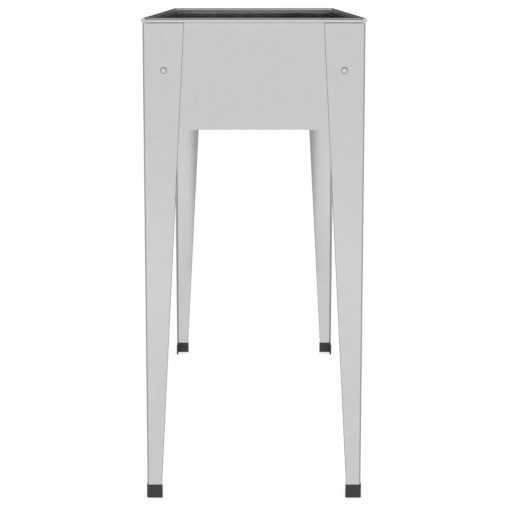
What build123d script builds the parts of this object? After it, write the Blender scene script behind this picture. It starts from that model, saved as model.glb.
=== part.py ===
from build123d import *
import os

# Raised planter on legs: a galvanised steel trough with rolled rims, carried by
# four tapered angle legs in black plastic foot caps. Millimetres, +Z up, origin
# on the floor under the middle of the trough. X is the short way across the
# trough, Y the long way along it, and the front end faces -Y.

os.makedirs("parts", exist_ok=True)

# ------------------------------------------------------------------ overall sizes
overall_length = 1000.0  # Y, over the rolled rims
overall_width = 362.0  # X, over the rolled rims
overall_height = 800.0  # Z, floor to the top of the rims
trough_depth = 180.0  # underside of the ledges to the top of the rims

# ------------------------------------------------------------------ sheet and rim
panel_sheet = 1.0
panel_bend = 1.0  # inside radius of the folds
leg_sheet = 1.5
leg_bend = 1.5  # inside radius down the corner of a leg
base_sheet = 1.0
stiffener_sheet = 1.2
rim_diameter = 8.3  # rolled top edge of every panel
rim_overhang = 2.0  # rims stand out past the leg faces by this
rim_slit = 0.6  # where the roll closes back on the panel
rim_end_wall = 1.2  # closed ends of the long rims
rim_end_round = 0.8
ledge_width = 15.0  # bottom edges folded inward

# ------------------------------------------------------------------ legs and feet
leg_width_top = 67.0  # each flange, just under the rim
leg_width_floor = 23.4  # each flange, where the taper would meet the floor
cap_height = 22.6
cap_wall = 0.9
cap_pad = 3.0  # solid foot under the end of the leg
cap_round = 0.4

# ------------------------------------------------------------------ fasteners
bolt_diameter = 6.0
bolt_length = 12.0  # under the head
bolt_head_diameter = 11.0
bolt_head_height = 1.9
bolt_dome_height = 1.5  # the domed part of the head
bolt_tip_chamfer = 0.6
bolt_inset = 33.6  # from the leg corner, along either face
bolt_drop = 84.0  # below the top of the rims
washer_diameter = 12.5
washer_thickness = 1.2
nut_width = 10.0
nut_height = 5.0
nut_chamfer = 0.7
rivet_diameter = 4.0
rivet_head_diameter = 8.0
rivet_head_height = 1.3
rivet_tail_diameter = 5.8
rivet_tail_height = 1.6

# ------------------------------------------------------------------ base
base_rise = 13.0  # ledge top to the top of the base
base_corner = 4.0
stiffener_width = 40.0
stiffener_pitch = 0.30 * overall_length
rivet_offset = 0.30 * overall_width
drain_diameter = 8.0

# ------------------------------------------------------------------ clearances
lap_gap = 0.1  # between two lapped sheets
rim_gap = 0.2  # between rims, and between a rim and a leg
cap_clearance = 0.1  # leg in its foot cap
hole_clearance = 0.3  # bolt and rivet holes, on the radius
neck_clearance = 0.1  # square bolt neck in the leg, each side
thread_clearance = 0.1  # nut and washer bores, on the radius
base_clearance = 1.2  # base to the panels, each side, clear of their folds
return_clearance = 1.2  # end panel folds above the side ledges

# ------------------------------------------------------------------ derived places
leg_face_x = overall_width / 2 - rim_overhang
leg_face_y = overall_length / 2 - rim_overhang
side_face_x = leg_face_x - leg_sheet - lap_gap
return_face_x = side_face_x - panel_sheet - lap_gap
end_face_y = leg_face_y - leg_sheet - lap_gap
rim_radius = rim_diameter / 2
rim_centre_z = overall_height - rim_radius
rim_base_z = overall_height - rim_diameter
leg_top_z = rim_base_z - rim_gap
leg_foot_z = cap_pad
ledge_z = overall_height - trough_depth
ledge_top_z = ledge_z + panel_sheet
bolt_z = overall_height - bolt_drop
bolt_x = leg_face_x - bolt_inset
bolt_y = leg_face_y - bolt_inset
side_half = leg_face_y - leg_sheet - leg_bend - 2 * lap_gap
end_rim_half = overall_width / 2 - rim_diameter - rim_gap
end_ledge_half = side_face_x - ledge_width - 2 * rim_gap
return_depth = bolt_inset + washer_diameter
return_bottom_z = ledge_top_z + return_clearance
return_top_z = rim_base_z - rim_gap
through = overall_length + overall_width

# ------------------------------------------------------------------ shared sections


def folded_panel(face, rim_face):
    """Section across a panel: inward ledge, upright web and rolled rim."""
    with BuildSketch() as section:
        with BuildLine():
            FilletPolyline(
                (face - ledge_width, ledge_z),
                (face, ledge_z),
                (face, rim_centre_z),
                radius=panel_bend + panel_sheet,
            )
            offset(amount=panel_sheet, side=Side.LEFT)
        make_face()
        with Locations((rim_face - rim_radius, rim_centre_z)):
            Circle(rim_radius)
            Circle(rim_radius - panel_sheet, mode=Mode.SUBTRACT)
        with Locations((face - panel_sheet - rim_slit / 2, rim_base_z)):
            Rectangle(rim_slit, 3 * panel_sheet, mode=Mode.SUBTRACT)
    return section.sketch


def angle(face_x, face_y, width, thickness, outer_radius):
    """Plan of an L angle whose rounded corner points to +X +Y."""
    with BuildSketch() as section:
        with BuildLine():
            FilletPolyline(
                (face_x - width, face_y),
                (face_x, face_y),
                (face_x, face_y - width),
                radius=outer_radius,
            )
            offset(amount=thickness, side=Side.RIGHT)
        make_face()
    return section.sketch


def taper(face):
    """Waste beside the sloping edge of a leg flange, seen square to the flange."""
    slope = (leg_width_top - leg_width_floor) / leg_top_z
    foot = face - leg_width_floor
    below = 10.0
    with BuildSketch() as waste:
        Polygon(
            (foot + slope * below, -below),
            (foot - slope * (leg_top_z + below), leg_top_z + below),
            (face - 2 * leg_width_top, leg_top_z + below),
            (face - 2 * leg_width_top, -below),
            align=None,
        )
    return waste.sketch


side_section = folded_panel(side_face_x, overall_width / 2)
end_section = folded_panel(end_face_y, overall_length / 2)
leg_section = angle(
    leg_face_x, leg_face_y, leg_width_top, leg_sheet, leg_sheet + leg_bend
)

# ------------------------------------------------------------------ side panels
with BuildPart() as right_side_panel:
    with BuildSketch(Plane.XZ):
        add(side_section)
    extrude(amount=side_half, both=True)
    with BuildSketch(Plane.XZ):
        add(side_section)
        with Locations((side_face_x, ledge_z)):
            Rectangle(through, 2 * (rim_base_z - ledge_z), mode=Mode.SUBTRACT)
    extrude(amount=overall_length / 2 - rim_end_wall, both=True)
    for end_y in (-overall_length / 2, overall_length / 2 - rim_end_wall):
        with BuildSketch(Plane.XZ.offset(-end_y)):
            with Locations((overall_width / 2 - rim_radius, rim_centre_z)):
                Circle(rim_radius)
        extrude(amount=-rim_end_wall)
    end_walls = right_side_panel.faces().filter_by(Axis.Y).group_by(Axis.Y)
    fillet(end_walls[0].edges() + end_walls[-1].edges(), radius=rim_end_round)
    with BuildSketch(Plane.YZ):
        with Locations((-bolt_y, bolt_z), (bolt_y, bolt_z)):
            Circle(bolt_diameter / 2 + hole_clearance)
    extrude(amount=through, both=True, mode=Mode.SUBTRACT)

with BuildPart() as left_side_panel:
    mirror(right_side_panel.part, about=Plane.YZ)

# ------------------------------------------------------------------ end panels
# The web turns back along each side panel so the same bolts hold all three
# sheets. The ledge and the rim are shorter, to fit between those of the sides.
with BuildPart() as rear_end_panel:
    with BuildSketch(Plane.YZ):
        add(end_section)
    extrude(amount=end_ledge_half, both=True)
    with BuildSketch(Plane.YZ):
        add(end_section)
        with Locations((end_face_y, ledge_z)):
            Rectangle(through, trough_depth, mode=Mode.SUBTRACT)
    extrude(amount=end_rim_half, both=True)
    with BuildSketch(Plane.XY.offset(return_bottom_z)):
        with BuildLine():
            FilletPolyline(
                (-return_face_x, end_face_y - return_depth),
                (-return_face_x, end_face_y),
                (return_face_x, end_face_y),
                (return_face_x, end_face_y - return_depth),
                radius=panel_bend + panel_sheet,
            )
            offset(amount=panel_sheet, side=Side.RIGHT)
        make_face()
    extrude(amount=return_top_z - return_bottom_z)
    with BuildSketch(Plane.XZ):
        with Locations((-bolt_x, bolt_z), (bolt_x, bolt_z)):
            Circle(bolt_diameter / 2 + hole_clearance)
    extrude(amount=through, both=True, mode=Mode.SUBTRACT)
    with BuildSketch(Plane.YZ):
        with Locations((bolt_y, bolt_z)):
            Circle(bolt_diameter / 2 + hole_clearance)
    extrude(amount=through, both=True, mode=Mode.SUBTRACT)

with BuildPart() as front_end_panel:
    mirror(rear_end_panel.part, about=Plane.XZ)

# ------------------------------------------------------------------ base
# A shallow upturned tray: its skirt stands on the ledges all round.
base_half_x = return_face_x - panel_sheet - base_clearance
base_half_y = end_face_y - panel_sheet - base_clearance
base_top_z = ledge_top_z + base_rise
stiffener_places = (-stiffener_pitch, 0.0, stiffener_pitch)
outer_bay = overall_length / 2 - stiffener_pitch
drain_rows = (
    stiffener_pitch / 3,
    2 * stiffener_pitch / 3,
    stiffener_pitch + 0.4 * outer_bay,
    stiffener_pitch + 0.7 * outer_bay,
)

with BuildPart() as base_hollow:
    with BuildSketch(Plane.XY.offset(ledge_top_z - base_sheet)):
        RectangleRounded(
            2 * (base_half_x - base_sheet),
            2 * (base_half_y - base_sheet),
            base_corner - base_sheet,
        )
    extrude(amount=base_rise)
    fillet(base_hollow.faces().sort_by(Axis.Z)[-1].edges(), radius=base_sheet)

with BuildPart() as base_pan:
    with BuildSketch(Plane.XY.offset(ledge_top_z)):
        RectangleRounded(2 * base_half_x, 2 * base_half_y, base_corner)
    extrude(amount=base_rise)
    fillet(base_pan.faces().sort_by(Axis.Z)[-1].edges(), radius=2 * base_sheet)
    add(base_hollow.part, mode=Mode.SUBTRACT)
    with BuildSketch(Plane.XY.offset(ledge_top_z)):
        for row in drain_rows:
            for side in (-1, 1):
                with Locations((0, side * row)):
                    with GridLocations(rivet_offset, 1, 3, 1):
                        Circle(drain_diameter / 2)
        for place in stiffener_places:
            with Locations((0, place)):
                with GridLocations(2 * rivet_offset, 1, 2, 1):
                    Circle(rivet_diameter / 2 + hole_clearance)
    extrude(amount=2 * base_rise, mode=Mode.SUBTRACT)

# ------------------------------------------------------------------ stiffeners
# Channels across the trough, open side down, riveted under the base and
# standing on the side ledges.
stiffener_half = base_half_x - base_sheet - base_clearance
stiffener_top_z = base_top_z - base_sheet - lap_gap

with BuildPart() as base_stiffener_middle:
    with BuildSketch(Plane.YZ):
        with BuildLine():
            FilletPolyline(
                (-stiffener_width / 2, ledge_top_z),
                (-stiffener_width / 2, stiffener_top_z),
                (stiffener_width / 2, stiffener_top_z),
                (stiffener_width / 2, ledge_top_z),
                radius=2 * stiffener_sheet,
            )
            offset(amount=stiffener_sheet, side=Side.RIGHT)
        make_face()
    extrude(amount=stiffener_half, both=True)
    with BuildSketch(Plane.XY.offset(ledge_top_z)):
        with GridLocations(2 * rivet_offset, 1, 2, 1):
            Circle(rivet_diameter / 2 + hole_clearance)
    extrude(amount=2 * base_rise, mode=Mode.SUBTRACT)

with BuildPart() as base_stiffener_front:
    with Locations((0, -stiffener_pitch, 0)):
        add(base_stiffener_middle.part)

with BuildPart() as base_stiffener_rear:
    with Locations((0, stiffener_pitch, 0)):
        add(base_stiffener_middle.part)

# ------------------------------------------------------------------ legs
end_taper = taper(leg_face_x)
side_taper = taper(leg_face_y)
neck_hole = bolt_diameter + 2 * neck_clearance

with BuildPart() as rear_right_leg:
    with BuildSketch(Plane.XY.offset(leg_foot_z)):
        add(leg_section)
    extrude(amount=leg_top_z - leg_foot_z)
    for flange_plane, waste, bolt_place in (
        (Plane.XZ, end_taper, bolt_x),
        (Plane.YZ, side_taper, bolt_y),
    ):
        with BuildSketch(flange_plane):
            add(waste)
            with Locations((bolt_place, bolt_z)):
                Rectangle(neck_hole, neck_hole)
        extrude(amount=through, both=True, mode=Mode.SUBTRACT)

with BuildPart() as rear_left_leg:
    mirror(rear_right_leg.part, about=Plane.YZ)

with BuildPart() as front_right_leg:
    mirror(rear_right_leg.part, about=Plane.XZ)

with BuildPart() as front_left_leg:
    mirror(rear_left_leg.part, about=Plane.XZ)

# ------------------------------------------------------------------ foot caps
# L-shaped plastic shoes: a slot the shape of the leg end over a solid pad.
leg_width_in_cap = leg_width_floor + (
    (leg_width_top - leg_width_floor) * cap_height / leg_top_z
)
cap_over = cap_wall + cap_clearance
cap_outline = angle(
    leg_face_x + cap_over,
    leg_face_y + cap_over,
    leg_width_in_cap + 2 * cap_over,
    leg_sheet + 2 * cap_over,
    leg_sheet + leg_bend + cap_over,
)
cap_slot = angle(
    leg_face_x + cap_clearance,
    leg_face_y + cap_clearance,
    leg_width_in_cap + 2 * cap_clearance,
    leg_sheet + 2 * cap_clearance,
    leg_sheet + leg_bend + cap_clearance,
)

with BuildPart() as rear_right_foot_cap:
    with BuildSketch():
        add(cap_outline)
    extrude(amount=cap_height)
    fillet(rear_right_foot_cap.edges(), radius=cap_round)
    with BuildSketch(Plane.XY.offset(cap_pad)):
        add(cap_slot)
    extrude(amount=cap_height, mode=Mode.SUBTRACT)

with BuildPart() as rear_left_foot_cap:
    mirror(rear_right_foot_cap.part, about=Plane.YZ)

with BuildPart() as front_right_foot_cap:
    mirror(rear_right_foot_cap.part, about=Plane.XZ)

with BuildPart() as front_left_foot_cap:
    mirror(rear_left_foot_cap.part, about=Plane.XZ)

# ------------------------------------------------------------------ leg bolts
# Every bolt axis is listed as a plane on the leg face, facing out.
side_stack = leg_sheet + 2 * panel_sheet + 2 * lap_gap
end_stack = leg_sheet + panel_sheet + lap_gap
bolt_seats = []
for side in (-1, 1):
    for end in (-1, 1):
        end_seat = Plane(
            origin=(side * bolt_x, end * leg_face_y, bolt_z),
            x_dir=(0, 0, 1),
            z_dir=(0, end, 0),
        )
        side_seat = Plane(
            origin=(side * leg_face_x, end * bolt_y, bolt_z),
            x_dir=(0, 0, 1),
            z_dir=(side, 0, 0),
        )
        bolt_seats.append((end_seat, end_stack))
        bolt_seats.append((side_seat, side_stack))

dome_foot = bolt_head_height - bolt_dome_height
dome_radius = ((bolt_head_diameter / 2) ** 2 + bolt_dome_height**2) / (2 * bolt_dome_height)
with BuildPart() as bolt_blank:
    with BuildSketch(Plane.XZ):
        with BuildLine():
            Polyline(
                (0, bolt_head_height),
                (0, 0),
                (bolt_head_diameter / 2, 0),
                (bolt_head_diameter / 2, dome_foot),
            )
            RadiusArc(
                (bolt_head_diameter / 2, dome_foot),
                (0, bolt_head_height),
                -dome_radius,
            )
        make_face()
    revolve(axis=Axis.Z)
    with BuildSketch():
        Rectangle(bolt_diameter, bolt_diameter)
    extrude(amount=-leg_sheet)
    with BuildSketch():
        Circle(bolt_diameter / 2)
    extrude(amount=-bolt_length)
    chamfer(bolt_blank.faces().sort_by(Axis.Z)[0].edges(), length=bolt_tip_chamfer)

with BuildPart() as washer_blank:
    with BuildSketch():
        Circle(washer_diameter / 2)
        Circle(bolt_diameter / 2 + 2 * thread_clearance, mode=Mode.SUBTRACT)
    extrude(amount=-washer_thickness)

with BuildPart() as nut_round:
    Cylinder(nut_width / 3**0.5, nut_height, align=(Align.CENTER, Align.CENTER, Align.MAX))
    chamfer(nut_round.edges().filter_by(GeomType.CIRCLE), nut_chamfer, nut_chamfer / 2)

with BuildPart() as nut_blank:
    with BuildSketch():
        RegularPolygon(nut_width / 2, 6, major_radius=False)
        Circle(bolt_diameter / 2 + thread_clearance, mode=Mode.SUBTRACT)
    extrude(amount=-nut_height)
    add(nut_round.part, mode=Mode.INTERSECT)

with BuildPart() as leg_bolts:
    for seat, stack in bolt_seats:
        with Locations(seat):
            add(bolt_blank.part)

with BuildPart() as leg_washers:
    for seat, stack in bolt_seats:
        with Locations(seat.offset(-stack)):
            add(washer_blank.part)

with BuildPart() as leg_nuts:
    for seat, stack in bolt_seats:
        with Locations(seat.offset(-stack - washer_thickness)):
            add(nut_blank.part)

# ------------------------------------------------------------------ rivets
rivet_grip = base_sheet + lap_gap + stiffener_sheet
with BuildPart() as rivet_blank:
    with BuildSketch(Plane.XZ):
        with BuildLine():
            Polyline(
                (0, rivet_head_height),
                (0, -rivet_grip - rivet_tail_height),
                (rivet_tail_diameter / 3, -rivet_grip - rivet_tail_height),
                (rivet_tail_diameter / 2, -rivet_grip - rivet_tail_height / 2),
                (rivet_tail_diameter / 2, -rivet_grip),
                (rivet_diameter / 2, -rivet_grip),
                (rivet_diameter / 2, 0),
                (rivet_head_diameter / 2, 0),
            )
            RadiusArc(
                (rivet_head_diameter / 2, 0),
                (0, rivet_head_height),
                -((rivet_head_diameter / 2) ** 2 + rivet_head_height**2)
                / (2 * rivet_head_height),
            )
        make_face()
    revolve(axis=Axis.Z)

with BuildPart() as stiffener_rivets:
    for place in stiffener_places:
        with Locations((0, place, base_top_z)):
            with GridLocations(2 * rivet_offset, 1, 2, 1):
                add(rivet_blank.part)

# ------------------------------------------------------------------ export
front_end_panel.part.label = "front end panel"
export_step(front_end_panel.part, "parts/front_end_panel.step")
rear_end_panel.part.label = "rear end panel"
export_step(rear_end_panel.part, "parts/rear_end_panel.step")
left_side_panel.part.label = "left side panel"
export_step(left_side_panel.part, "parts/left_side_panel.step")
right_side_panel.part.label = "right side panel"
export_step(right_side_panel.part, "parts/right_side_panel.step")
base_pan.part.label = "base pan"
export_step(base_pan.part, "parts/base_pan.step")
base_stiffener_front.part.label = "front base stiffener"
export_step(base_stiffener_front.part, "parts/base_stiffener_front.step")
base_stiffener_middle.part.label = "middle base stiffener"
export_step(base_stiffener_middle.part, "parts/base_stiffener_middle.step")
base_stiffener_rear.part.label = "rear base stiffener"
export_step(base_stiffener_rear.part, "parts/base_stiffener_rear.step")
front_left_leg.part.label = "front left leg"
export_step(front_left_leg.part, "parts/front_left_leg.step")
front_right_leg.part.label = "front right leg"
export_step(front_right_leg.part, "parts/front_right_leg.step")
rear_left_leg.part.label = "rear left leg"
export_step(rear_left_leg.part, "parts/rear_left_leg.step")
rear_right_leg.part.label = "rear right leg"
export_step(rear_right_leg.part, "parts/rear_right_leg.step")
front_left_foot_cap.part.label = "front left foot cap"
export_step(front_left_foot_cap.part, "parts/front_left_foot_cap.step")
front_right_foot_cap.part.label = "front right foot cap"
export_step(front_right_foot_cap.part, "parts/front_right_foot_cap.step")
rear_left_foot_cap.part.label = "rear left foot cap"
export_step(rear_left_foot_cap.part, "parts/rear_left_foot_cap.step")
rear_right_foot_cap.part.label = "rear right foot cap"
export_step(rear_right_foot_cap.part, "parts/rear_right_foot_cap.step")
leg_bolts.part.label = "leg bolts"
export_step(leg_bolts.part, "parts/leg_bolts.step")
leg_washers.part.label = "leg washers"
export_step(leg_washers.part, "parts/leg_washers.step")
leg_nuts.part.label = "leg nuts"
export_step(leg_nuts.part, "parts/leg_nuts.step")
stiffener_rivets.part.label = "stiffener rivets"
export_step(stiffener_rivets.part, "parts/stiffener_rivets.step")
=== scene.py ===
import math

import bmesh
import bpy
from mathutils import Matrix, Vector


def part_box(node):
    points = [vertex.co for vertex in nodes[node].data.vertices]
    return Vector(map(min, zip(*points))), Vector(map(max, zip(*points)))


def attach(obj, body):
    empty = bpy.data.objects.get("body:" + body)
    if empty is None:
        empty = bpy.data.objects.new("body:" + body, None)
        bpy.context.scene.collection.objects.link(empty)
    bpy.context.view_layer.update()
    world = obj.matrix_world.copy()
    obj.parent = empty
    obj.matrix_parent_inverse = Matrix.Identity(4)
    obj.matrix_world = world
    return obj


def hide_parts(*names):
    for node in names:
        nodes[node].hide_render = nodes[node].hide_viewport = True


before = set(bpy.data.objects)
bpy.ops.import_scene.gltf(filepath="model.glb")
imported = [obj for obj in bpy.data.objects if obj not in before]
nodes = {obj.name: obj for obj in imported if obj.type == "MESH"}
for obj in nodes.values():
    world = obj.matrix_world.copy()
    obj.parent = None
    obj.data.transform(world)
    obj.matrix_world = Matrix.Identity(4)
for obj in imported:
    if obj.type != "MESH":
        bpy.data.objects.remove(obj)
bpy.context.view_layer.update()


# ---------------------------------------------------------------- materials
SHEET_GREY = 0.562
SHEET_ROUGH = (0.06, 0.1)  # lowest and highest roughness along the streaks
SHEET_GRAIN = 55.0  # spangles in a metre
PLATE_GREY = 0.58
PLATE_ROUGH = (0.12, 0.2)
PLATE_GRAIN = 400.0
# The base and its stiffeners are plain inside sheet, duller than the panels.
DULL_GREY = 0.7
DULL_ROUGH = (0.38, 0.5)
DULL_METALLIC = 0.35
SPANGLE_DARK, SPANGLE_LIGHT = 0.985, 1.012  # shares of the grey
LEG_PAINTED_SHADE = 0.55  # painted shade: what is left of the grey on tight bends and cut edges
BOLT_PAINTED_SHADE = 0.3  # painted shade: what is left of the grey on the flanks of the bolt heads


class Nodes:
    """An emptied node tree, with short calls to add and link nodes."""

    def __init__(self, tree):
        self.tree = tree
        tree.nodes.clear()

    def add(self, kind, **values):
        node = self.tree.nodes.new(kind)
        for key, value in values.items():
            if key in node.inputs:
                node.inputs[key].default_value = value
            else:
                setattr(node, key, value)
        return node

    def link(self, start, out, end, into):
        self.tree.links.new(start.outputs[out], end.inputs[into])

    def ramp(self, start, out, stops):
        """A colour ramp from (place, grey) stops."""
        ramp = self.add("ShaderNodeValToRGB")
        ends = ramp.color_ramp.elements
        while len(ends) < len(stops):
            ends.new(0.5)
        for end, (where, grey) in zip(ends, stops):
            end.position = where
            end.color = (grey, grey, grey, 1.0)
        self.link(start, out, ramp, "Fac")
        return ramp

    def map_range(self, low, high):
        """Spreads a value from 0 to 1 between low and high."""
        spread_out = self.add("ShaderNodeMapRange")
        spread_out.inputs["To Min"].default_value = low
        spread_out.inputs["To Max"].default_value = high
        return spread_out


class Finish(Nodes):
    """The nodes of a new material, with its shader in place."""

    def __init__(self, name):
        self.material = bpy.data.materials.new(name)
        self.material.use_nodes = True
        super().__init__(self.material.node_tree)
        self.output = self.add("ShaderNodeOutputMaterial")
        self.shader = self.add("ShaderNodeBsdfPrincipled")
        self.link(self.shader, "BSDF", self.output, "Surface")
        self.place = self.add("ShaderNodeTexCoord")

    def stretched(self, scale):
        mapping = self.add("ShaderNodeMapping", Scale=scale)
        self.link(self.place, "Object", mapping, "Vector")
        return mapping

    def darker_where_shade_painted(self, colour, shade):
        """The colour, times the painted shade where the mesh is marked for it."""
        painted_shade = self.add("ShaderNodeAttribute", attribute_name="painted_shade")
        tone = self.map_range(1.0, shade)
        self.link(painted_shade, "Fac", tone, "Value")
        both = self.add("ShaderNodeMix", data_type="RGBA", blend_type="MULTIPLY")
        both.inputs["Factor"].default_value = 1.0
        self.link(colour, "Color", both, "A")
        self.link(tone, "Result", both, "B")
        return both


def galvanised(name, tint, rough, grain, metallic=1.0, painted_shade_tone=None):
    """Zinc with a soft spangle and faint rolling streaks, and a painted shade where the mesh is
    marked for it.
    """
    skin = Finish(name)
    skin.shader.inputs["Metallic"].default_value = metallic
    spangle = skin.add("ShaderNodeTexVoronoi", Scale=grain)
    skin.link(skin.place, "Object", spangle, "Vector")
    cloud = skin.add("ShaderNodeTexNoise", Scale=9.0, Detail=3.0)
    skin.link(skin.place, "Object", cloud, "Vector")
    streak = skin.add("ShaderNodeTexNoise", Scale=1.0, Detail=2.0)
    skin.link(skin.stretched((60.0, 60.0, 4.0)), "Vector", streak, "Vector")
    mix = skin.add("ShaderNodeMix", data_type="RGBA")
    mix.inputs["Factor"].default_value = 0.35
    skin.link(spangle, "Color", mix, "A")
    skin.link(cloud, "Color", mix, "B")
    flat = skin.add("ShaderNodeRGBToBW")
    skin.link(mix, "Result", flat, "Color")
    colour = skin.ramp(flat, "Val", ((0.25, SPANGLE_DARK * tint), (0.75, SPANGLE_LIGHT * tint)))
    if painted_shade_tone is None:
        skin.link(colour, "Color", skin.shader, "Base Color")
    else:
        skin.link(skin.darker_where_shade_painted(colour, painted_shade_tone), "Result", skin.shader, "Base Color")
    streaky = skin.map_range(*rough)
    skin.link(streak, "Fac", streaky, "Value")
    skin.link(streaky, "Result", skin.shader, "Roughness")
    bump = skin.add("ShaderNodeBump", Strength=0.05, Distance=0.0004)
    skin.link(flat, "Val", bump, "Height")
    skin.link(bump, "Normal", skin.shader, "Normal")
    return skin.material


def moulded(name, dark, light):
    """Black plastic with a fine moulded grain."""
    skin = Finish(name)
    grain = skin.add("ShaderNodeTexNoise", Scale=900.0, Detail=4.0)
    skin.link(skin.place, "Object", grain, "Vector")
    colour = skin.ramp(grain, "Fac", ((0.3, dark), (0.7, light)))
    skin.link(colour, "Color", skin.shader, "Base Color")
    skin.shader.inputs["Roughness"].default_value = 0.42
    bump = skin.add("ShaderNodeBump", Strength=0.15, Distance=0.0002)
    skin.link(grain, "Fac", bump, "Height")
    skin.link(bump, "Normal", skin.shader, "Normal")
    return skin.material


zinc = galvanised("galvanised_sheet", SHEET_GREY, SHEET_ROUGH, SHEET_GRAIN)
# the legs' copy of the sheet zinc, with a painted shade on its bends and cut edges
leg_zinc_painted_shade = galvanised(
    "galvanised_leg", SHEET_GREY, SHEET_ROUGH, SHEET_GRAIN, painted_shade_tone=LEG_PAINTED_SHADE
)
plated = galvanised("zinc_plate", PLATE_GREY, PLATE_ROUGH, PLATE_GRAIN)
# the bolt heads' plate, with a painted shade on their flanks
bolt_plate_painted_shade = galvanised(
    "bolt_plate_painted_shade", PLATE_GREY, PLATE_ROUGH, PLATE_GRAIN, painted_shade_tone=BOLT_PAINTED_SHADE
)
plastic = moulded("foot_plastic", 0.016, 0.026)
dull = galvanised("galvanised_base", DULL_GREY, DULL_ROUGH, SHEET_GRAIN, metallic=DULL_METALLIC)

for name, node in nodes.items():
    finish = dull
    if "foot_cap" in name:
        finish = plastic
    if name in ("leg_bolts", "leg_washers", "leg_nuts", "stiffener_rivets"):
        finish = plated
    node.data.materials.clear()
    node.data.materials.append(finish)

# ---------------------------------------------------------------- sheet metal
MM = 0.001
EDGE = 0.42 * MM  # rounding of every cut sheet edge
END_INSET = 0.18 * MM  # rounding at the ends of every run
EDGE_POINTS = 6  # between the two sides of a sheet, round its cut edge
BEND_STEPS = 7
CURL_STEPS = 44
SPIN_STEPS = 48
TOUCH = 0.01 * MM  # closer than this counts as the same place


def unit(a, b):
    """The direction from a to b."""
    dx, dy = b[0] - a[0], b[1] - a[1]
    size = math.hypot(dx, dy)
    return dx / size, dy / size


def bend(centre, radius, start, stop, steps=BEND_STEPS):
    """Points of an arc in a section, with its angles in degrees."""
    points = []
    for i in range(steps + 1):
        a = math.radians(start + (stop - start) * i / steps)
        points.append((centre[0] + radius * math.cos(a), centre[1] + radius * math.sin(a)))
    return points


def outline(path, thick):
    """The outline of a sheet that follows a middle line, with its two cut edges rounded."""
    last = len(path) - 1
    left, right = [], []
    for i, p in enumerate(path):
        ahead = unit(path[max(i - 1, 0)], path[min(i + 1, last)])
        shift = 0.0
        if i == 0:
            shift = EDGE
        if i == last:
            shift = -EDGE
        x, y = p[0] + ahead[0] * shift, p[1] + ahead[1] * shift
        side = (-ahead[1] * thick / 2, ahead[0] * thick / 2)
        left.append((x + side[0], y + side[1]))
        right.append((x - side[0], y - side[1]))

    def cut_edge(p, way):
        """Rounded cut edge at one end, from the left side of the sheet to the right."""
        side = (-way[1], way[0])
        points = []
        for sign, shares in ((1, (1, 2, 3)), (-1, (3, 2, 1, 0))):
            cx = p[0] - way[0] * EDGE + side[0] * sign * (thick / 2 - EDGE)
            cy = p[1] - way[1] * EDGE + side[1] * sign * (thick / 2 - EDGE)
            for share in shares:
                a = math.radians(30 * share)
                u, v = EDGE * math.sin(a), EDGE * math.cos(a) * sign
                points.append((cx + way[0] * u + side[0] * v, cy + way[1] * u + side[1] * v))
        return points

    ahead_end = unit(path[-2], path[-1])
    ahead_start = unit(path[1], path[0])
    far = cut_edge(path[-1], ahead_end)
    near = cut_edge(path[0], ahead_start)
    return left + far[:-1] + right[::-1] + near[:-1]


def shrink(loop, amount):
    """The loop moved inwards along its own normals."""
    count = len(loop)
    turn = sum(
        loop[i][0] * loop[(i + 1) % count][1] - loop[(i + 1) % count][0] * loop[i][1]
        for i in range(count)
    )
    sign = 1 if turn > 0 else -1
    moved = []
    for i, p in enumerate(loop):
        way = unit(loop[i - 1], loop[(i + 1) % count])
        moved.append((p[0] - sign * way[1] * amount, p[1] + sign * way[0] * amount))
    return moved


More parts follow.
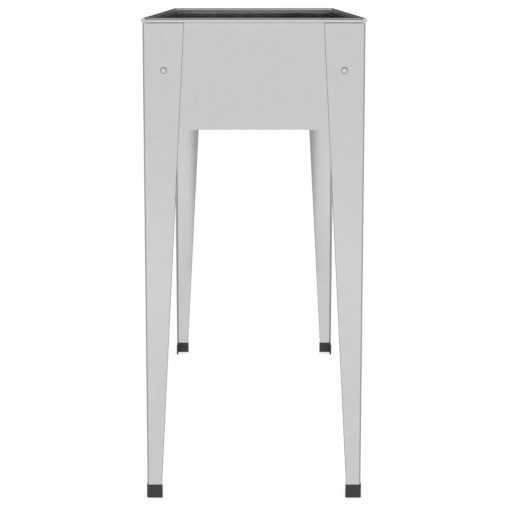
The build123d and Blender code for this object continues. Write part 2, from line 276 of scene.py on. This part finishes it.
class Shells:
    """Collects closed shells, each one lofted through matching rings."""

    def __init__(self):
        self.points = []
        self.faces = []

    def loft(self, rings, sheet=True):
        """Walls between the rings, and end caps: strips across a sheet, or one face."""
        base = len(self.points)
        count = len(rings[0])
        for ring in rings:
            self.points.extend(ring)
        for r in range(len(rings) - 1):
            a, b = base + r * count, base + (r + 1) * count
            for i in range(count):
                j = (i + 1) % count
                self.faces.append((a + i, a + j, b + j, b + i))
        for start in (base, base + (len(rings) - 1) * count):
            if not sheet:
                self.faces.append(tuple(start + i for i in range(count)))
                continue
            side = (count - 2 * EDGE_POINTS) // 2
            back = start + 2 * side + EDGE_POINTS - 1
            for i in range(side - 1):
                self.faces.append((start + i, start + i + 1, back - i - 1, back - i))
            turn = range(side - 1, side + EDGE_POINTS + 1)
            self.faces.append(tuple(start + i for i in turn))
            turn = range(2 * side + EDGE_POINTS - 1, count + 1)
            self.faces.append(tuple(start + i % count for i in turn))

    def run(self, section, spots, place):
        """A section along a line: spots are its stations, and place(u, v, s) gives the point."""
        first, last, half_way = spots[0], spots[-1], 0.3 * END_INSET
        stations = [(first, END_INSET), (first + half_way, half_way)]
        flat = [first + END_INSET, *spots[1:-1], last - END_INSET]
        stations += [(s, 0.0) for s in flat]
        stations += [(last - half_way, half_way), (last, END_INSET)]
        rings = []
        for s, inset in stations:
            loop = section(s)
            if inset:
                loop = shrink(loop, inset)
            rings.append([place(u, v, s) for u, v in loop])
        self.loft(rings)

    def spin(self, profile, origin, outward, steps=SPIN_STEPS):
        """A turned shape from (radius, height) pairs, the first and last of them on the axis."""
        out = Vector(outward)
        across = Vector((0, 0, 1))
        along = out.cross(across)
        base = len(self.points)
        centre = Vector(origin)
        self.points.append(tuple(centre + out * profile[0][1]))
        for radius, high in profile[1:-1]:
            for k in range(steps):
                a = 2 * math.pi * k / steps
                spoke = across * math.cos(a) + along * math.sin(a)
                self.points.append(tuple(centre + out * high + spoke * radius))
        self.points.append(tuple(centre + out * profile[-1][1]))
        end = len(self.points) - 1
        bands = len(profile) - 2
        for k in range(steps):
            j = (k + 1) % steps
            self.faces.append((base, base + 1 + k, base + 1 + j))
            for b in range(bands - 1):
                low = base + 1 + b * steps
                high = low + steps
                self.faces.append((low + k, high + k, high + j, low + j))
            low = base + 1 + (bands - 1) * steps
            self.faces.append((low + k, end, low + j))

    def piece(self, name, finish, stands_for, slot, sharp=40.0):
        """All the shells as one object, in place of the CAD nodes that it stands for."""
        mesh = bpy.data.meshes.new(name)
        mesh.from_pydata(self.points, [], self.faces)
        tidy = bmesh.new()
        tidy.from_mesh(mesh)
        bmesh.ops.recalc_face_normals(tidy, faces=tidy.faces)
        tidy.to_mesh(mesh)
        tidy.free()
        mesh.shade_smooth()
        mesh.set_sharp_from_angle(angle=math.radians(sharp))
        mesh.materials.append(finish)
        made = bpy.data.objects.new(name, mesh)
        bpy.context.scene.collection.objects.link(made)
        even = made.modifiers.new("even_shading", "WEIGHTED_NORMAL")
        even.mode = "FACE_AREA"
        even.weight = 80
        even.keep_sharp = True
        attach(made, "root")
        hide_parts(*stands_for)
        return made


def mark_painted_shade(piece, amounts):
    """Mark each point of a piece with how much painted shade it gets, from 0 to 1."""
    painted_shade = piece.data.attributes.new("painted_shade", "FLOAT", "POINT")
    for spot, amount in zip(painted_shade.data, amounts):
        spot.value = amount


def spread(low, high, steps):
    """Evenly spaced places from low to high, both of them included."""
    return [low + (high - low) * i / steps for i in range(steps + 1)]


def node_points(name):
    return [v.co for v in nodes[name].data.vertices]


# ---------------------------------------------------------------- legs
LEG_SHEET = 1.5 * MM
LEG_BEND = 2.25 * MM  # middle line of the corner bend
LEG_STATIONS = 40
# A flange has points at these distances from its cut edge, and at these shares of
# its width from the corner. The next two lists say how much painted shade each point
# gets: on a flange from its cut edge to the bend, and round the bend.
CUT_STEPS = (0.0, 0.9 * MM, 1.2 * MM)
FLANGE_STEPS = (0.75, 0.5, 0.25)
FLANGE_PAINTED_SHADE = [1.0, 1.0, 0.0, 0.0, 0.0, 0.0]
BEND_PAINTED_SHADE = [0.0, 0.8, 1.0, 1.0, 1.0, 1.0, 0.8, 0.0]


def build_leg(name, side, end):
    """An angle leg that tapers to its foot, on the side and end given by their signs."""
    low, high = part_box(name)
    face_x = max(abs(low.x), abs(high.x))
    face_y = max(abs(low.y), abs(high.y))
    wide_top = high.x - low.x
    foot = [abs(p.x) for p in node_points(name) if p.z < low.z + TOUCH]
    wide_foot = face_x - min(foot)
    mid_x, mid_y = face_x - LEG_SHEET / 2, face_y - LEG_SHEET / 2

    def section(z):
        wide = wide_foot + (wide_top - wide_foot) * (z - low.z) / (high.z - low.z)
        steps = [wide - cut for cut in CUT_STEPS] + [wide * s for s in FLANGE_STEPS]
        path = [(face_x - s, mid_y) for s in steps]
        path += bend((mid_x - LEG_BEND, mid_y - LEG_BEND), LEG_BEND, 90, 0)
        path += [(mid_x, face_y - s) for s in steps[::-1]]
        return outline(path, LEG_SHEET)

    leg = Shells()
    stations = spread(low.z, high.z, LEG_STATIONS)
    leg.run(section, stations, lambda u, v, z: (side * u, end * v, z))
    made = leg.piece(name.replace("_leg", "_angle_leg"), leg_zinc_painted_shade, [name], "galvanised_sheet")
    # painted shade along both cut edges of each flange and round the bend
    face = FLANGE_PAINTED_SHADE + BEND_PAINTED_SHADE + FLANGE_PAINTED_SHADE[::-1]
    ring = face + [1.0] * EDGE_POINTS + face[::-1] + [1.0] * EDGE_POINTS
    mark_painted_shade(made, ring * (len(leg.points) // len(ring)))


for end_name, end in (("front", -1), ("rear", 1)):
    for side_name, side in (("left", -1), ("right", 1)):
        build_leg(f"{end_name}_{side_name}_leg", side, end)

# ---------------------------------------------------------------- trough panels
PANEL_SHEET = 1.0 * MM
PANEL_BEND = 1.5 * MM
LAP_GAP = 0.1 * MM  # between a leg and the side panel behind it
RIM_RADIUS = 4.15 * MM
CURL = RIM_RADIUS - PANEL_SHEET / 2  # middle line of the rolled rim
CURL_OPEN = -66  # degrees: where the sheet joins the roll
CURL_CLOSE = 247  # and where the roll ends, back at the web
NECK = 1.35 * MM  # under the roll, where the sheet starts to lean out
WEB_STOP = 1.5 * MM  # under the roll, where the web of an end panel stops
PLUG_ROUND = 0.9 * MM
PLUG_SLACK = 0.02 * MM
LEAN_START = (0.04 * MM, 0.45 * MM)  # out and up from the neck, where the lean starts
LEAN = (0.3 * MM, 1.0 * MM)  # out and up from the neck, on the lean
LEAN_RISE = 0.11 * MM  # how far the sheet arches between the lean and the roll
CORNER_STEPS = (0.0, 0.6 * MM, 1.2 * MM)  # beside the end of an end rim
WEB_CLEAR = 0.4 * MM  # from the end of an end rim to the web's even points
CORNER_FROM = 0.2 * MM  # inside the end of an end rim, where the web rises
FLAT_CLEAR = 40 * MM  # well away from the ledge and the rim
OIL_CAN = 0.16 * MM  # how far a thin panel wanders from flat
# Each wave: radians in a metre along the panel and up it, its phase and its share.
WAVES = ((17.0, 9.0, 0.0, 1.0), (31.0, -21.0, 1.3, 0.6))
FADE_UP, FADE_ALONG = 1.2, 6  # how suddenly the waves die out at the edges
SIDE_STATIONS, SIDE_RISE_STEPS = 90, 14  # along a side panel and up its web
END_STATIONS, END_RISE_STEPS = 24, 20  # along an end panel's ledge and rim, and up its web
END_WEB_STEPS = 36  # along an end panel's web


def wander(along, z, half, low, high):
    """Very slow waves of a thin panel, dying out at its edges."""
    fade_z = math.sin(math.pi * min(1.0, max(0.0, (z - low) / (high - low)))) ** FADE_UP
    fade_s = max(0.0, 1.0 - (along / half) ** FADE_ALONG)
    wave = sum(share * math.sin(along * a + z * b + phase) for a, b, phase, share in WAVES)
    return OIL_CAN * fade_z * fade_s * wave


def ledge_path(inner, web, ledge_z):
    """From the free edge of the ledge out to the bend where the web starts."""
    middle_z = ledge_z + PANEL_SHEET / 2
    path = [(inner, middle_z), (inner + (web - inner) * 0.5, middle_z)]
    return path + bend((web - PANEL_BEND, middle_z + PANEL_BEND), PANEL_BEND, -90, 0)


def curl_path(web, centre, centre_z):
    """From the web, out through a tight bend and round into the rolled rim."""
    start = centre_z - CURL - NECK
    roll = bend((centre, centre_z), CURL, CURL_OPEN, CURL_CLOSE, CURL_STEPS)
    lean = (web + LEAN[0], start + LEAN[1])
    path = [(web, start), (web + LEAN_START[0], start + LEAN_START[1]), lean]
    path.append(((lean[0] + roll[0][0]) / 2, (lean[1] + roll[0][1]) / 2 + LEAN_RISE))
    return path + roll


def end_plug(shells, centre, centre_z, ends, place):
    """The closed, rounded end of a long rim."""
    inner, tip = ends
    way = 1 if tip > inner else -1
    shoulder = tip - way * PLUG_ROUND
    stations = [(inner, RIM_RADIUS - PLUG_SLACK), (shoulder, RIM_RADIUS - PLUG_SLACK)]
    for u, v in bend((0.0, RIM_RADIUS - PLUG_ROUND), PLUG_ROUND, 90, 0, 5)[1:]:
        stations.append((shoulder + way * u, v))
    rings = []
    for depth, radius in stations:
        ring = bend((centre, centre_z), radius, 0, 360, CURL_STEPS)[:-1]
        rings.append([place(u, v, depth) for u, v in ring])
    shells.loft(rings, sheet=False)


def build_side(name, side):
    """A long side panel: ledge, web and rolled rim in one sheet, and its two rim plugs."""
    low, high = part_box(name)
    outer = max(abs(low.x), abs(high.x))
    inner = min(abs(low.x), abs(high.x))
    leg_low, leg_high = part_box(f"front_{name.split('_')[0]}_leg")
    leg_face = max(abs(leg_low.x), abs(leg_high.x))
    web = leg_face - LEG_SHEET - LAP_GAP - PANEL_SHEET / 2
    half = max(abs(p.y) for p in node_points(name) if p.z < low.z + 0.5 * PANEL_SHEET)
    centre, centre_z = outer - RIM_RADIUS, high.z - RIM_RADIUS
    web_top = centre_z - CURL - NECK
    web_low = low.z + PANEL_SHEET / 2 + PANEL_BEND

    def section(y):
        path = ledge_path(inner, web, low.z)
        for z in spread(web_low, web_top, SIDE_RISE_STEPS)[1:-1]:
            path.append((web + wander(y, z, half, web_low, web_top), z))
        return outline(path + curl_path(web, centre, centre_z), PANEL_SHEET)

    def place(u, v, y):
        return side * u, y, v

    panel = Shells()
    panel.run(section, spread(-half, half, SIDE_STATIONS), place)
    end_plug(panel, centre, centre_z, (half, high.y), place)
    end_plug(panel, centre, centre_z, (-half, low.y), place)
    panel.piece(name.replace("_panel", "_sheet"), zinc, [name], "galvanised_sheet")


build_side("left_side_panel", -1)
build_side("right_side_panel", 1)


def build_end(name, end):
    """An end panel: ledge, rim and a web that folds back along both side panels."""
    low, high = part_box(name)
    outer = max(abs(low.y), abs(high.y))
    points = node_points(name)
    web_points = [abs(p.y) for p in points if low.z + FLAT_CLEAR < p.z < high.z - FLAT_CLEAR]
    web = max(web_points) - PANEL_SHEET / 2
    fold_x = high.x - PANEL_SHEET / 2
    fold_y = min(abs(p.y) for p in points)
    ledge_points = [p for p in points if p.z < low.z + 0.5 * PANEL_SHEET]
    ledge_half = max(p.x for p in ledge_points)
    ledge_in = min(abs(p.y) for p in ledge_points)
    rim_half = max(p.x for p in points if p.z > high.z - RIM_RADIUS)
    centre, centre_z = outer - RIM_RADIUS, high.z - RIM_RADIUS
    fold_points = [p.z for p in points if abs(p.x) > high.x - 0.5 * PANEL_SHEET]
    web_low, fold_top = min(fold_points), max(fold_points)

    def along_x(u, v, x):
        return x, end * u, v

    panel = Shells()
    ledge = ledge_path(ledge_in, web, low.z) + [(web, web_low + EDGE)]
    stations = spread(-ledge_half, ledge_half, END_STATIONS)
    panel.run(lambda x: outline(ledge, PANEL_SHEET), stations, along_x)
    web_stop = centre_z - CURL - WEB_STOP
    rim = [(web, web_stop - EDGE)] + curl_path(web, centre, centre_z)
    stations = spread(-rim_half, rim_half, END_STATIONS)
    panel.run(lambda x: outline(rim, PANEL_SHEET), stations, along_x)

    def plan(z):
        path = [(-fold_x, fold_y), (-fold_x, (fold_y + web) / 2)]
        path += bend((-fold_x + PANEL_BEND, web - PANEL_BEND), PANEL_BEND, 180, 90)
        middle = spread(WEB_CLEAR - rim_half, rim_half - WEB_CLEAR, END_WEB_STEPS)
        corner = [rim_half + step for step in CORNER_STEPS]
        for x in [*(-x for x in corner[::-1]), *middle, *corner]:
            path.append((x, web + wander(x, z, ledge_half, web_low, fold_top)))
        path += bend((fold_x - PANEL_BEND, web - PANEL_BEND), PANEL_BEND, 90, 0)
        path += [(fold_x, (fold_y + web) / 2), (fold_x, fold_y)]
        return outline(path, PANEL_SHEET)

    side_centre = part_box("right_side_panel")[1].x - RIM_RADIUS

    def upright(u, v, z):
        """The web stops under its own rim, and beside it goes on up to the side rims."""
        top = web_stop
        if abs(u) > rim_half - CORNER_FROM:
            reach = (RIM_RADIUS + LAP_GAP) ** 2 - (side_centre - abs(u)) ** 2
            top = centre_z - math.sqrt(max(0.0, reach))
        return u, end * v, web_low + (z - web_low) * (top - web_low) / (fold_top - web_low)

    panel.run(plan, spread(web_low, fold_top, END_RISE_STEPS), upright)
    panel.piece(name.replace("_panel", "_sheet"), zinc, [name], "galvanised_sheet")


build_end("front_end_panel", -1)
build_end("rear_end_panel", 1)

# ---------------------------------------------------------------- leg bolts
HEAD_R = 5.5 * MM
HEAD_HIGH = 1.9 * MM
SHANK_R = 3.0 * MM
SHANK_LONG = 12.0 * MM
SHANK_TIP = 0.6 * MM  # bevel at the end of a shank
SHANK_RING = 0.3 * MM  # below the head, to keep its shading crisp
CROWN_R = 3.7 * MM
CROWN_DROP = 0.05 * MM
SHOULDER_R = 0.35 * MM
SEAT_HIGH = 0.12 * MM  # upright edge round the foot of a head
SEAT_EASE = 0.1 * MM
PAINTED_SHADE_TOP = 1.35 * MM  # above this the painted shade on the flank fades out towards the crown
PAINTED_SHADE_FADE = 0.4 * MM


def bolt_profile():
    """A low head: nearly flat crown, small round shoulder and a steep flank."""
    crown_z = HEAD_HIGH - CROWN_DROP
    points = [(0.0, HEAD_HIGH), (CROWN_R / 2, HEAD_HIGH - 0.3 * CROWN_DROP)]
    points += bend((CROWN_R, crown_z - SHOULDER_R), SHOULDER_R, 90, 34, 4)
    points += [(HEAD_R - SEAT_EASE, SEAT_HIGH + SEAT_EASE), (HEAD_R, SEAT_HIGH), (HEAD_R, 0.0)]
    points += [(SHANK_R, 0.0), (SHANK_R, -SHANK_RING)]
    points += [(SHANK_R, SHANK_TIP - SHANK_LONG), (SHANK_R - SHANK_TIP, -SHANK_LONG)]
    return points + [(0.0, -SHANK_LONG)]


leg_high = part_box("rear_right_leg")[1]
all_low, all_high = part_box("leg_bolts")
bolt_z = (all_low.z + all_high.z) / 2
heads = Shells()
inset_x = min(abs(p.x) for p in node_points("leg_bolts")) + HEAD_R
inset_y = min(abs(p.y) for p in node_points("leg_bolts")) + HEAD_R
for side in (-1, 1):
    for end in (-1, 1):
        heads.spin(bolt_profile(), (side * inset_x, end * leg_high.y, bolt_z), (0, end, 0))
        heads.spin(bolt_profile(), (side * leg_high.x, end * inset_y, bolt_z), (side, 0, 0))
bolts = heads.piece("bolt_set", bolt_plate_painted_shade, ["leg_bolts"], "plated_fastener", sharp=50.0)
# painted shade on the flank of each head, fading out towards the crown
proud = [max(abs(x) - leg_high.x, abs(y) - leg_high.y) for x, y, z in heads.points]
mark_painted_shade(bolts, [min(1.0, max(0.0, 1.0 - (high - PAINTED_SHADE_TOP) / PAINTED_SHADE_FADE)) for high in proud])

# ---------------------------------------------------------------- floor
# A pale floor that glows a little, so it stays white with a soft contact shade.
# The glow is painted light: it dips slightly near the planter, as a painted contact shade, and
# far in front of it.
FLOOR_REACH = 150.0
FLOOR_GREY = 0.7
FLOOR_DROP = 0.4 * MM  # keeps the floor just clear of the foot caps
FLOOR_GLOW = 0.785
GLOW_FRONT = 8.0  # metres in front of the planter where the glow stops changing
GLOW_STOPS = ((0.0, 0.9), (0.5, 0.95), (0.62, 1.0), (0.76, 1.0), (0.86, 0.93), (1.0, 0.88))
floor_mesh = bpy.data.meshes.new("floor")
floor_mesh.from_pydata(
    [(x * FLOOR_REACH, y * FLOOR_REACH, 0) for x, y in ((-1, -1), (1, -1), (1, 1), (-1, 1))],
    [],
    [(0, 1, 2, 3)],
)
floor = bpy.data.objects.new("floor", floor_mesh)
bpy.context.scene.collection.objects.link(floor)
floor.location.z = -FLOOR_DROP
pale = Finish("pale_floor")
pale.shader.inputs["Base Color"].default_value = (FLOOR_GREY, FLOOR_GREY, FLOOR_GREY, 1)
pale.shader.inputs["Roughness"].default_value = 1.0
pale.shader.inputs["Specular IOR Level"].default_value = 0.0
pale.shader.inputs["Emission Strength"].default_value = FLOOR_GLOW
along = pale.add("ShaderNodeSeparateXYZ")
pale.link(pale.place, "Object", along, "Vector")
near = pale.add("ShaderNodeMapRange")
near.inputs["From Min"].default_value = -GLOW_FRONT
near.inputs["From Max"].default_value = 0.0
pale.link(along, "Y", near, "Value")
glow = pale.ramp(near, "Result", GLOW_STOPS)
pale.link(glow, "Color", pale.shader, "Emission Color")
floor.data.materials.append(pale.material)

# ---------------------------------------------------------------- studio light
# Soft light all round, brightest low in front and dimmer to the back, under a
# dim ceiling. Seen directly, it is plain white.
SKY_GAIN = 2.0
AROUND = ((-1.0, 1.2), (-0.6, 1.05), (0.0, 0.72), (0.4, 0.5), (0.8, 0.38), (0.97, 0.1))
CEILING = ((0.0, 0.4), (0.85, 0.4), (1.0, 0.6))
CEILING_SHARE = ((0.0, 0.0), (0.3, 0.0), (0.42, SKY_GAIN), (1.0, SKY_GAIN))
SEEN_WHITE = 1.02

world = bpy.data.worlds.new("studio")
bpy.context.scene.world = world
world.use_nodes = True
sky = Nodes(world.node_tree)
look = sky.add("ShaderNodeTexCoord")
direction = sky.add("ShaderNodeSeparateXYZ")
sky.link(look, "Generated", direction, 0)


def sky_ramp(axis, stops):
    """Light by direction: stops are (part of the direction along the axis, light)."""
    half = sky.add("ShaderNodeMath", operation="MULTIPLY_ADD")
    half.inputs[1].default_value = 0.5
    half.inputs[2].default_value = 0.5
    sky.link(direction, axis, half, 0)
    scaled = [(0.5 + 0.5 * where, light / SKY_GAIN) for where, light in stops]
    return sky.ramp(half, 0, scaled)


blend = sky.add("ShaderNodeMix", data_type="RGBA")
sky.link(sky_ramp("Z", CEILING_SHARE), "Color", blend, "Factor")
sky.link(sky_ramp("Y", AROUND), "Color", blend, "A")
sky.link(sky_ramp("Z", CEILING), "Color", blend, "B")
room = sky.add("ShaderNodeBackground", Strength=SKY_GAIN)
sky.link(blend, "Result", room, "Color")
white = sky.add("ShaderNodeBackground", Color=(1, 1, 1, 1), Strength=SEEN_WHITE)
seen = sky.add("ShaderNodeLightPath")
either = sky.add("ShaderNodeMixShader")
sky.link(seen, "Is Camera Ray", either, "Fac")
sky.link(room, 0, either, 1)
sky.link(white, 0, either, 2)
output = sky.add("ShaderNodeOutputWorld")
sky.link(either, 0, output, "Surface")

# ---------------------------------------------------------------- camera
CAMERA_SPOT = (0.0, -2.879, 0.853)
CAMERA_DIP = 8.72  # degrees below level
LENS = 104.62
SHIFT_Y = -0.085
HORIZON = 1000.0

lens_data = bpy.data.cameras.new("camera")
lens_data.sensor_width = 36.0
lens_data.lens = LENS
lens_data.shift_y = SHIFT_Y
lens_data.clip_end = HORIZON
camera = bpy.data.objects.new("camera", lens_data)
bpy.context.scene.collection.objects.link(camera)
camera.location = CAMERA_SPOT
camera.rotation_euler = (math.radians(90 - CAMERA_DIP), 0, 0)
bpy.context.scene.camera = camera
bpy.context.scene.view_settings.view_transform = "Standard"
